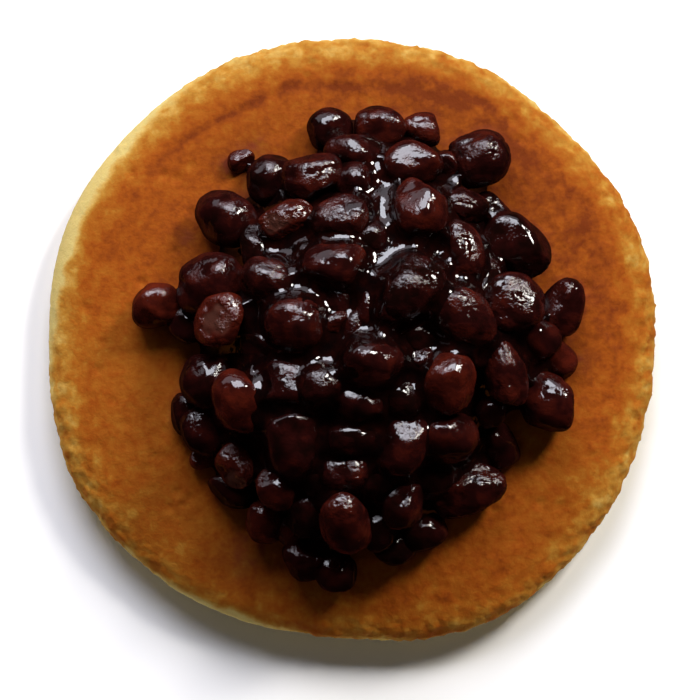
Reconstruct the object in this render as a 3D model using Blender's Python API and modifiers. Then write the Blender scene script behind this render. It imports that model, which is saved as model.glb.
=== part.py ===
"""Open dorayaki: one castella pancake, browned side up, with a mound of sweet azuki beans on it.

Blender units are metres, +Z is up, and the origin is the middle of the pancake's flat underside.
Driving dimensions are in millimetres and angles in degrees.
"""

import math
import random
from typing import NamedTuple

import bmesh
import bpy
from mathutils import Matrix, Vector

MM = 0.001

# The pancake is a low cushion: flat where it stands, widest at its belly, gently domed on top.
PANCAKE_RADIUS = 45.0
PANCAKE_THICKNESS = 11.0
BELLY_HEIGHT = 4.4
FOOT_RADIUS = 37.0
DOME_POWER = 3.6
# Slow waves of the outline: number of lobes, their height, and where the first one points.
EDGE_LOBES = ((2, 0.4, -25.0), (3, 0.3, -40.0), (4, 0.4, 34.0), (5, 0.3, 10.0), (8, 0.2, 22.0))
# The rim also rises and falls a little round the pancake.
RIM_WAVES = ((2, 0.35, 60.0), (3, 0.25, 200.0))
TOP_RINGS = (0.0, 0.2, 0.4, 0.55, 0.68, 0.78, 0.86, 0.92, 0.96, 0.985, 1.0)
UNDER_RINGS = 3
PANCAKE_SIDES = 64
CUTTER_SIDES = 32

# The mound: an uneven oval heap, a little off the pancake's middle. Its outline passes through
# the middles of the beans round its edge.
MOUND_CENTRE = (2.0, 0.0)
MOUND_RADIUS = 28.5
MOUND_LOBES = ((2, 2.6, 75.0), (3, 0.8, 4.0), (4, 1.5, -6.0), (5, 0.4, -1.0))
MOUND_RISE = 13.0
MOUND_ROUNDNESS = 0.85
# The core of crushed beans and syrup that the whole beans sit in.
CORE_SHARE = 0.93
CORE_DEPTH = 2.4
CORE_SWELL = 3
CORE_SIDES = 28
CORE_RINGS = 12
CORE_ROOT = 5.0

# Cooked azuki beans are blunt-ended barrels, a little flatter than they are wide.
BEAN_BLUNTNESS = 2.5
BEAN_FLATNESS = 0.92
BEAN_SIDES = 10
BEAN_RINGS = 6
SCRAP_SIDES = 8
SCRAP_RINGS = 5
SCRAP_LENGTH = 5.7
SLOPE_FOLLOWED = 0.7
ROCK_LIMIT = 12.0
SEED = 41
# Beans lower in the mound, on a sunflower spiral, wherever no bean above them is near.
LOW_BEAN_STEPS = 240
LOW_BEAN_REACH = 1.0
LOW_BEAN_LENGTH = 7.8
LOW_BEAN_WIDTH = 6.2
LOW_BEAN_CLEARANCE = 0.7
LOW_BEAN_LIFT = -1.8
GOLDEN_ANGLE = math.pi * (3.0 - math.sqrt(5.0))

# Gap kept between the beans and the crust they lie on.
REST_GAP = 0.3


class Bean(NamedTuple):
    """Where a bean lies seen from above (across, along), its length and width, the way its length
    points, and how far it stands above (or is pressed below) its neighbours."""

    across: float
    along: float
    length: float
    width: float
    turn: float = 0.0
    lift: float = 0.0


# The beans that show, row by row from the far edge of the mound to the near edge.
BEAN_ROWS = {
    "far edge": (
        Bean(-3.4, 31.0, 6.9, 6.3),
        Bean(4.3, 31.5, 7.7, 6.8, 20),
        Bean(10.3, 31.0, 5.9, 5.3),
        Bean(0.1, 27.6, 8.4, 5.8, -5, 0.4),
        Bean(-16.1, 26.9, 4.4, 3.6, 50, -0.8),
        Bean(14.2, 26.0, 5.4, 4.8, 80, -0.3),
        Bean(18.4, 26.8, 10.0, 8.4, 20, 0.4),
    ),
    "far slope": (
        Bean(-12.0, 23.8, 7.6, 6.6, 70, -0.3),
        Bean(-5.9, 24.2, 8.8, 8.0, -20, 0.4),
        Bean(0.5, 23.4, 6.6, 5.8, -30, -0.6),
        Bean(8.9, 26.1, 9.0, 6.9, 5, 0.3),
        Bean(10.1, 19.5, 9.0, 7.6, 92, 0.8),
        Bean(4.2, 21.0, 5.2, 4.2, 80, -1.6),
        Bean(16.8, 19.8, 6.9, 5.4, -10, -0.4),
        Bean(-18.2, 17.9, 10.6, 8.1, -30, 0.7),
        Bean(-9.3, 17.6, 8.5, 6.8, 5, -0.1),
        Bean(-1.5, 17.8, 8.5, 7.0, 15, 0.2),
        Bean(16.1, 13.4, 9.2, 6.2, -75, 0.2),
        Bean(24.3, 14.0, 10.8, 8.0, -35, 0.1),
    ),
    "left slope": (
        Bean(-28.6, 5.2, 7.1, 6.9, 0, 0.2),
        Bean(-20.8, 8.5, 11.6, 8.5, 5, 0.4),
        Bean(-23.6, 2.4, 6.6, 5.6, -30, -0.6),
        Bean(-18.7, 3.1, 9.2, 7.6, 62, 0.8),
        Bean(-21.2, -5.6, 8.6, 7.9, 30, -0.2),
        Bean(-24.0, -10.6, 6.6, 5.4, 80, -0.2),
        Bean(-21.6, -13.2, 7.8, 6.8, 100, 0.1),
        Bean(-16.2, -8.6, 9.6, 8.4, 105, 1.2),
        Bean(-21.7, -17.0, 4.2, 3.8, 20, -0.3),
        Bean(-16.7, -17.8, 7.0, 5.9, -60, 0.0),
        Bean(-17.4, -21.6, 7.6, 5.4, -15, -0.6),
    ),
    "crown": (
        Bean(-12.2, 8.4, 8.5, 7.2, -20, 0.4),
        Bean(-2.2, 10.6, 9.1, 7.6, 0, 0.1),
        Bean(-8.3, 2.8, 9.0, 7.7, -5, 0.6),
        Bean(-2.2, 2.6, 4.6, 3.8, 20, 1.0),
        Bean(1.9, 4.6, 5.8, 3.8, 85, 0.8),
        Bean(7.9, 7.5, 12.0, 8.8, 42, 1.0),
        Bean(16.4, 3.6, 10.8, 8.0, -52, 0.9),
        Bean(3.2, -3.1, 8.8, 7.5, -8, 1.9),
        Bean(-9.2, -6.2, 7.8, 7.0, 0, 0.3),
        Bean(-4.5, -6.8, 7.6, 6.8, 60, 0.5),
        Bean(-10.9, -9.8, 4.8, 4.0, 0, 0.6),
        Bean(1.0, -8.9, 7.6, 6.2, -20, 0.2),
        Bean(7.4, -8.6, 7.0, 6.4, -40, -0.7),
        Bean(9.6, -2.4, 5.6, 4.2, 10, 0.4),
        Bean(14.2, -6.0, 9.0, 7.8, 88, 1.4),
    ),
    "right slope": (
        Bean(24.0, 5.7, 9.8, 9.0, -10, 0.7),
        Bean(31.0, 5.2, 8.8, 6.2, 75, 0.1),
        Bean(27.6, 0.4, 6.8, 5.8, -30, -0.7),
        Bean(30.2, -2.4, 6.2, 5.0, -40, -0.9),
        Bean(22.4, -4.6, 10.4, 6.2, -80, 0.6),
        Bean(28.9, -8.7, 9.2, 8.2, -20, 0.6),
        Bean(20.1, -10.4, 5.2, 4.9, 90, 0.3),
        Bean(21.6, -15.4, 8.0, 5.6, -65, -0.6),
    ),
    "near slope": (
        Bean(7.7, -14.9, 9.4, 6.8, 72, 0.5),
        Bean(14.0, -14.0, 8.6, 8.0, 0, 0.8),
        Bean(17.1, -21.6, 11.8, 7.5, 20, 0.4),
        Bean(-8.5, -14.6, 9.4, 7.6, 88, 0.5),
        Bean(0.0, -14.0, 7.4, 6.0, 10, -0.6),
        Bean(-1.0, -18.6, 7.0, 6.0, 0, -0.3),
        Bean(-5.2, -19.4, 6.4, 4.8, 90, -0.3),
        Bean(-11.0, -21.4, 6.6, 5.8, -25, 0.3),
        Bean(7.5, -23.8, 7.4, 6.4, 88, 0.3),
    ),
    "near edge": (
        Bean(-1.0, -26.2, 10.8, 7.4, -75, 1.1),
        Bean(-6.6, -25.0, 7.4, 5.8, 80, -0.3),
        Bean(4.0, -27.4, 7.0, 5.4, 80, -0.8),
        Bean(10.6, -28.0, 7.0, 5.6, 20, -0.1),
        Bean(6.4, -30.2, 6.6, 5.4, -10, -0.2),
        Bean(-12.6, -26.6, 6.8, 5.4, 80, 0.1),
        Bean(-9.3, -28.2, 5.4, 4.2, 80, 0.2),
        Bean(-7.0, -31.8, 7.0, 6.6, 0, 0.1),
        Bean(-2.5, -33.6, 6.6, 6.0, -20, 0.0),
    ),
}


def wavy(radius, lobes, angle):
    """A radius with slow waves added, in a direction given in radians."""
    return radius + sum(
        height * math.cos(count * (angle - math.radians(turn))) for count, height, turn in lobes
    )


def outline_radius(angle):
    """Distance from the pancake's middle to its edge."""
    return wavy(PANCAKE_RADIUS, EDGE_LOBES, angle)


def rim_wave(angle, share):
    """How far the crust is raised at a share of the radius: nothing in the middle, most at the rim."""
    return wavy(0.0, RIM_WAVES, angle) * share**4


def crust_height(x, y):
    """Height of the browned top above the table."""
    angle = math.atan2(y, x)
    share = min(1.0, math.hypot(x, y) / outline_radius(angle))
    dome = math.sqrt(max(0.0, 1.0 - share**DOME_POWER))
    return BELLY_HEIGHT + (PANCAKE_THICKNESS - BELLY_HEIGHT) * dome + rim_wave(angle, share)


def mound_point(share, angle):
    """The place at a share of the mound's radius, in a direction from its middle."""
    reach = share * wavy(MOUND_RADIUS, MOUND_LOBES, angle)
    return MOUND_CENTRE[0] + reach * math.cos(angle), MOUND_CENTRE[1] + reach * math.sin(angle)


def mound_rise(x, y):
    """How far the mound lifts a bean above the crust, from nothing at its edge to MOUND_RISE."""
    across, along = x - MOUND_CENTRE[0], y - MOUND_CENTRE[1]
    share = math.hypot(across, along) / wavy(MOUND_RADIUS, MOUND_LOBES, math.atan2(along, across))
    return MOUND_RISE * max(0.0, 1.0 - share**2) ** MOUND_ROUNDNESS


def mound_normal(x, y):
    """The direction the mound faces, softened because beans only partly lean with the slope."""
    step = 1.0
    slope_x = (mound_rise(x + step, y) - mound_rise(x - step, y)) / (2 * step)
    slope_y = (mound_rise(x, y + step) - mound_rise(x, y - step)) / (2 * step)
    return Vector((-SLOPE_FOLLOWED * slope_x, -SLOPE_FOLLOWED * slope_y, 1.0)).normalized()


def new_object(name, mesh, collection):
    obj = bpy.data.objects.new(name, mesh)
    collection.objects.link(obj)
    return obj


def new_collection(name):
    collection = bpy.data.collections.new(name)
    bpy.context.scene.collection.children.link(collection)
    return collection


def evaluated_mesh(obj, name):
    """The object's mesh with its modifiers applied."""
    graph = bpy.context.evaluated_depsgraph_get()
    mesh = bpy.data.meshes.new_from_object(obj.evaluated_get(graph))
    mesh.name = name
    return mesh


def material(name, colour, roughness):
    """A Principled material in one plain colour, given as linear RGB."""
    made = bpy.data.materials.new(name)
    made.use_nodes = True
    shader = made.node_tree.nodes["Principled BSDF"]
    shader.inputs["Base Color"].default_value = (*colour, 1.0)
    shader.inputs["Roughness"].default_value = roughness
    shader.inputs["Metallic"].default_value = 0.0
    return made


def pancake_profile(grow):
    """Half outline of a round pancake as (radius, height) pairs, top centre to underside centre.

    grow moves the outline outwards, for the cutter that keeps the beans clear of the crust."""
    radius = PANCAKE_RADIUS + grow
    top = PANCAKE_THICKNESS + grow
    points = [
        (radius * share, BELLY_HEIGHT + (top - BELLY_HEIGHT) * math.sqrt(1.0 - share**DOME_POWER))
        for share in TOP_RINGS
    ]
    for ring in range(1, UNDER_RINGS + 1):
        turn = math.pi / 2 * ring / UNDER_RINGS
        reach = FOOT_RADIUS + (radius - FOOT_RADIUS) * math.cos(turn)
        points.append((reach, (BELLY_HEIGHT + grow) * (1.0 - math.sin(turn)) - grow))
    points.append((0.0, -grow))
    return points


def pancake_body(name, collection, sides, grow=0.0):
    """Turns the profile round the Z axis, then gives it the uneven outline and rim."""
    profile = bpy.data.meshes.new(name + "_profile")
    points = [(radius * MM, 0.0, height * MM) for radius, height in pancake_profile(grow)]
    profile.from_pydata(points, [(i, i + 1) for i in range(len(points) - 1)], [])
    turned = new_object(name + "_turned", profile, collection)
    screw = turned.modifiers.new("turn", "SCREW")
    screw.steps = screw.render_steps = sides
    screw.use_merge_vertices = True
    screw.merge_threshold = 0.00001
    screw.use_smooth_shade = False
    mesh = evaluated_mesh(turned, name)
    bpy.data.objects.remove(turned)
    for vertex in mesh.vertices:
        radius = math.hypot(vertex.co.x, vertex.co.y) / MM
        angle = math.atan2(vertex.co.y, vertex.co.x)
        share = radius / PANCAKE_RADIUS
        off_table = max(0.0, min(1.0, vertex.co.z / MM / BELLY_HEIGHT))
        stretch = outline_radius(angle) / PANCAKE_RADIUS
        vertex.co.x *= stretch
        vertex.co.y *= stretch
        vertex.co.z += rim_wave(angle, min(1.0, share)) * off_table * MM
    return new_object(name, mesh, collection)


def bean_frame(bean, index):
    """The placement of a bean: on the crust or on the mound, leaning with the slope, its length
    turned as given and rocked a little at random."""
    half_height = bean.width * BEAN_FLATNESS / 2
    height = crust_height(bean.across, bean.along) + half_height
    height += mound_rise(bean.across, bean.along) + bean.lift
    rock = random.Random(SEED + index)
    pitch = math.radians(rock.uniform(-ROCK_LIMIT, ROCK_LIMIT))
    roll = math.radians(rock.uniform(-ROCK_LIMIT, ROCK_LIMIT))
    lean = Vector((0, 0, 1)).rotation_difference(mound_normal(bean.across, bean.along)).to_matrix().to_4x4()
    place = Matrix.Translation(Vector((bean.across, bean.along, height)) * MM)
    heading = Matrix.Rotation(math.radians(bean.turn), 4, "Z")
    return place @ lean @ heading @ Matrix.Rotation(pitch, 4, "Y") @ Matrix.Rotation(roll, 4, "X")


def bean_body(name, bean, index, collection):
    """A bean from a sphere whose poles lie along its length and whose ends are made blunter."""
    small = bean.length < SCRAP_LENGTH
    sides, rings = (SCRAP_SIDES, SCRAP_RINGS) if small else (BEAN_SIDES, BEAN_RINGS)
    cage = bmesh.new()
    bmesh.ops.create_uvsphere(cage, u_segments=sides, v_segments=rings, radius=1.0)
    bmesh.ops.rotate(cage, verts=cage.verts, matrix=Matrix.Rotation(math.pi / 2, 3, "Y"))
    half_length, half_width = bean.length / 2, bean.width / 2
    for vertex in cage.verts:
        along = max(-1.0, min(1.0, vertex.co.x))
        round_section = math.sqrt(max(1e-9, 1.0 - along**2))
        blunt_section = (1.0 - abs(along) ** BEAN_BLUNTNESS) ** (1.0 / BEAN_BLUNTNESS)
        girth = blunt_section / round_section if round_section > 1e-3 else 0.0
        vertex.co.x = along * half_length
        vertex.co.y *= girth * half_width
        vertex.co.z *= girth * half_width * BEAN_FLATNESS
    cage.transform(bean_frame(bean, index) @ Matrix.Scale(MM, 4))
    mesh = bpy.data.meshes.new(name)
    cage.to_mesh(mesh)
    cage.free()
    return new_object(name, mesh, collection)


def low_beans(beans_above):
    """The beans that fill the hollows of the mound, from the middle outwards."""
    found = []
    for step in range(LOW_BEAN_STEPS):
        angle = step * GOLDEN_ANGLE
        across, along = mound_point(LOW_BEAN_REACH * math.sqrt((step + 0.5) / LOW_BEAN_STEPS), angle)
        clear = all(
            math.hypot(across - bean.across, along - bean.along)
            > (bean.length + bean.width) / 4 + LOW_BEAN_CLEARANCE
            for bean in (*beans_above, *found)
        )
        if clear:
            turn = math.degrees(angle) * 2 % 180
            found.append(Bean(across, along, LOW_BEAN_LENGTH, LOW_BEAN_WIDTH, turn, LOW_BEAN_LIFT))
    return found


def core_body(name, collection):
    """The mound's core: a sphere whose upper half is drawn up to just under the tops of the beans
    and whose lower half is sunk below the crust, where the cutter takes it off."""
    cage = bmesh.new()
    bmesh.ops.create_uvsphere(cage, u_segments=CORE_SIDES, v_segments=CORE_RINGS, radius=1.0)
    for vertex in cage.verts:
        share = CORE_SHARE * math.hypot(vertex.co.x, vertex.co.y)
        x, y = mound_point(share, math.atan2(vertex.co.y, vertex.co.x))
        if vertex.co.z > 0:
            swell = 1.0 - (1.0 - vertex.co.z) ** CORE_SWELL
            height = crust_height(x, y) + (mound_rise(x, y) + CORE_DEPTH) * swell
        else:
            height = CORE_ROOT + vertex.co.z
        vertex.co = Vector((x, y, height)) * MM
    mesh = bpy.data.meshes.new(name)
    cage.to_mesh(mesh)
    cage.free()
    return new_object(name, mesh, collection)


def apply_boolean(obj, operation, **operand):
    """Joins or cuts a mesh object and keeps the result as its mesh."""
    boolean = obj.modifiers.new(operation.lower(), "BOOLEAN")
    boolean.operation = operation
    boolean.solver = "MANIFOLD"
    for setting, value in operand.items():
        setattr(boolean, setting, value)
    obj.data = evaluated_mesh(obj, obj.data.name)
    obj.modifiers.remove(boolean)


def keep_largest_shell(mesh):
    """Fills sealed hollows and drops loose scraps: only the shell with the most faces stays."""
    cage = bmesh.new()
    cage.from_mesh(mesh)
    unseen = set(cage.verts)
    shells = []
    while unseen:
        shell, edge = set(), [unseen.pop()]
        while edge:
            vertex = edge.pop()
            shell.add(vertex)
            for link in vertex.link_edges:
                other = link.other_vert(vertex)
                if other in unseen:
                    unseen.remove(other)
                    edge.append(other)
        shells.append(shell)
    shells.sort(key=len)
    loose = [vertex for shell in shells[:-1] for vertex in shell]
    bmesh.ops.delete(cage, geom=loose, context="VERTS")
    bmesh.ops.triangulate(cage, faces=cage.faces)
    cage.to_mesh(mesh)
    cage.free()


def bean_heap(collection, cutters):
    """The mound: every bean joined to the core, then cut clear of the crust it lies on."""
    loose_beans = new_collection("loose_beans")
    heap = core_body("bean_heap", collection)
    beans = [bean for row in BEAN_ROWS.values() for bean in row]
    beans += low_beans(beans)
    for index, bean in enumerate(beans):
        bean_body(f"bean_{index:02d}", bean, index, loose_beans)
    apply_boolean(heap, "UNION", operand_type="COLLECTION", collection=loose_beans)
    for obj in list(loose_beans.objects):
        bpy.data.objects.remove(obj)
    bpy.data.collections.remove(loose_beans)
    crust_cutter = pancake_body("crust_cutter", cutters, CUTTER_SIDES, grow=REST_GAP)
    crust_cutter.hide_render = True
    crust_cutter.display_type = "WIRE"
    apply_boolean(heap, "DIFFERENCE", object=crust_cutter)
    keep_largest_shell(heap.data)
    return heap


def main():
    for obj in list(bpy.data.objects):
        bpy.data.objects.remove(obj)
    dorayaki = new_collection("dorayaki")
    cutters = new_collection("cutters")
    pancake = pancake_body("pancake", dorayaki, PANCAKE_SIDES)
    pancake.data.materials.append(material("browned_crust", (0.42, 0.15, 0.03), 0.75))
    heap = bean_heap(dorayaki, cutters)
    heap.data.materials.clear()
    heap.data.materials.append(material("syrupy_azuki", (0.045, 0.012, 0.01), 0.15))


main()
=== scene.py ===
"""Open dorayaki: a browned castella pancake with a mound of sweet azuki beans in syrup on it.

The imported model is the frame. Lengths are in metres and +Z is up; tables are in millimetres.
"""

import math
import random
from functools import lru_cache
from itertools import product
from typing import NamedTuple

import bpy
import numpy as np
from mathutils import Matrix, Vector


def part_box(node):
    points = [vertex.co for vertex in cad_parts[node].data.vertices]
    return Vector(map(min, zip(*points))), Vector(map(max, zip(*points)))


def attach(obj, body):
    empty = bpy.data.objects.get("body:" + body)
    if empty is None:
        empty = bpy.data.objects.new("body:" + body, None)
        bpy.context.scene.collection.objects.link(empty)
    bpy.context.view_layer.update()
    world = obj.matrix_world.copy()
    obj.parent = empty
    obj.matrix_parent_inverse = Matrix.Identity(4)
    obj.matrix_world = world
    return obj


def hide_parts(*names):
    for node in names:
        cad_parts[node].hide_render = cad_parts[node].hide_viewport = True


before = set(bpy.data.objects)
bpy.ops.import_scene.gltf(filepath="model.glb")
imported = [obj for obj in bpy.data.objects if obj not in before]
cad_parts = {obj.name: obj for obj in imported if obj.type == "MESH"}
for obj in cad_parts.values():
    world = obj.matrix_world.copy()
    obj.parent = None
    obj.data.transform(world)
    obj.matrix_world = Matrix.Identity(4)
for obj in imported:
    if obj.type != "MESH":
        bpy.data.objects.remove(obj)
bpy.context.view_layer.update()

bl_info = {
    "name": "Open dorayaki",
    "version": (1, 0, 0),
    "blender": (4, 5, 0),
    "location": "View3D > Sidebar > Dorayaki",
    "description": "Browned castella pancake with a mound of sweet azuki beans in syrup",
    "category": "Add Mesh",
}

MM = 0.001

# The pancake's slow waves: how many round the edge, their height, and where the first one points.
EDGE_LOBES = ((2, 0.4, -25.0), (3, 0.3, -40.0), (4, 0.4, 34.0), (5, 0.3, 10.0), (8, 0.2, 22.0))
RIM_WAVES = ((2, 0.35, 60.0), (3, 0.25, 200.0))
DOME_POWER = 3.6
# Where the browned skin stops short of the edge and pale sponge shows: direction, spread and width.
PALE_ARCS = ((154.0, 27.0, 2.5), (48.0, 12.0, 0.5), (243.0, 16.0, 1.3))
# Elsewhere the skin reaches a little way down the side.
SKIN_MARGIN = -0.4
# How brown the skin, the underside and bare sponge are, and what a crease adds to that, and the rim, its
# golden side and a fleck on it take off. The golden side faces the lights, so its paling is partly
# painted light.
SKIN_BROWNING = 0.78
UNDERSIDE_BROWNING = 0.77
SPONGE_BROWNING = -0.15
CREASE_BROWNER = 0.22
RIM_PALER, GOLDEN_PALER, FLECK_PALER = 0.12, 0.3, 0.13
# How the hot plate browned the sides, and painted shade and light: the first lobe darkens the side facing
# the lights, which is painted shade, and the last two lighten the shaded sides, which is painted light.
# Each has a direction, spread, and how much browner or paler.
BROWNING_AND_PAINTED_LIGHT_SIDES = ((50.0, 40.0, 0.17), (0.0, 18.0, 0.08), (205.0, 45.0, -0.07), (330.0, 30.0, -0.09))
# Creases where the rim bends down: share of the radius, direction, spread and strength.
CREASES = ((0.847, 102.0, 40.0, 1.0), (0.895, 66.0, 22.0, 0.6))
CREASE_WIDTH = 0.018
# Where syrup has smeared the crust beside the mound, and, last, a wide painted shadow of the mound on the
# crust at its near left: across, along, and how far it spreads.
STAINS_AND_PAINTED_SHADOW = ((-14.4, 28.0, 2.6), (-18.6, 25.8, 2.0), (-24.2, 15.3, 1.8), (33.2, -3.2, 2.2))
# The mound's painted shadow on the crust, soaked and darkened like a stain.
STAINS_AND_PAINTED_SHADOW += ((-15.0, -30.6, 5.2),)
# How much darker the smears make the crust; in the mound's painted shadow this is painted shade.
STAIN_AND_SHADOW_DARKENING = 0.3
# Painted shade and light: the crust is darker all over on the side facing the lights, from half way out,
# and lighter at the rim across from it: that side's direction, and by how much.
PAINTED_SHADE_SIDE = 75
PAINTED_SHADE_DEPTH = 0.22
# The direction in which the rim is most golden: the side facing the lights, so this paler rim is partly
# painted light.
GOLDEN_LIT_SIDE = 85
# Layers of noise in the crust: the size of the lumps, how far each layer goes, and its seed.
SWELL = ((11, 0.22, 4),)
GRAIN = ((0.8, 0.06, 5), (1.7, 0.08, 6))
RUFFLE = ((2.6, 0.16, 1), (1.1, 0.15, 2), (0.6, 0.22, 3))
CREASE_WANDER = ((9, 0.011, 9), (3, 0.004, 13))
BROWNING_DRIFT = ((14, 0.05, 11),)
RIM_BLOTCHES = ((1.1, 0.09, 15), (2.4, 0.07, 16))
UNDERSIDE_BLOTCHES = ((7, 0.25, 12),)
# The mound covers the crust within this radius, which needs fewer rings, as the underside does.
COVERED_RADIUS = 20 * MM
COVERED_RINGS = 0.3
# Rings from the top's centre to the underside's, and places round each.
CRUST_ROWS = 158
CRUST_AROUND = 576

# The mound's outline runs through the middles of the beans round its edge.
MOUND_CENTRE = (2.0, 0.0)
MOUND_RADIUS = 28.5
MOUND_LOBES = ((2, 2.6, 75.0), (3, 0.8, 4.0), (4, 1.5, -6.0), (5, 0.4, -1.0))
MOUND_ROUNDNESS = 0.85
# The crushed beans between them: their share of the outline, their depth, and how blunt they end.
CORE_SHARE = 0.93
CORE_DEPTH = 2.4
CORE_SWELL = 3

# Cooked azuki beans are a little flatter than they are wide. They lean with the mound by a share of
# its slope, and rock by a few degrees.
BEAN_FLATNESS = 0.92
SLOPE_FOLLOWED = 0.7
ROCK_LIMIT = 12.0
SEED = 41
# The low beans in the hollows: places tried, size, gap to the beans above them, and lift.
LOW_BEAN_STEPS = 240
LOW_BEAN_LENGTH = 7.8
LOW_BEAN_WIDTH = 6.2
LOW_BEAN_CLEARANCE = 0.7
LOW_BEAN_LIFT = -1.8
GOLDEN_ANGLE = math.pi * (3.0 - math.sqrt(5.0))


class Bean(NamedTuple):
    """Where a bean lies seen from above, its length and width, the way its length points, how far
    it stands above its neighbours, what became of it in the pot, and how red its skin stayed."""

    across: float
    along: float
    length: float
    width: float
    turn: float
    lift: float
    kind: str
    tone: float


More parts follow.
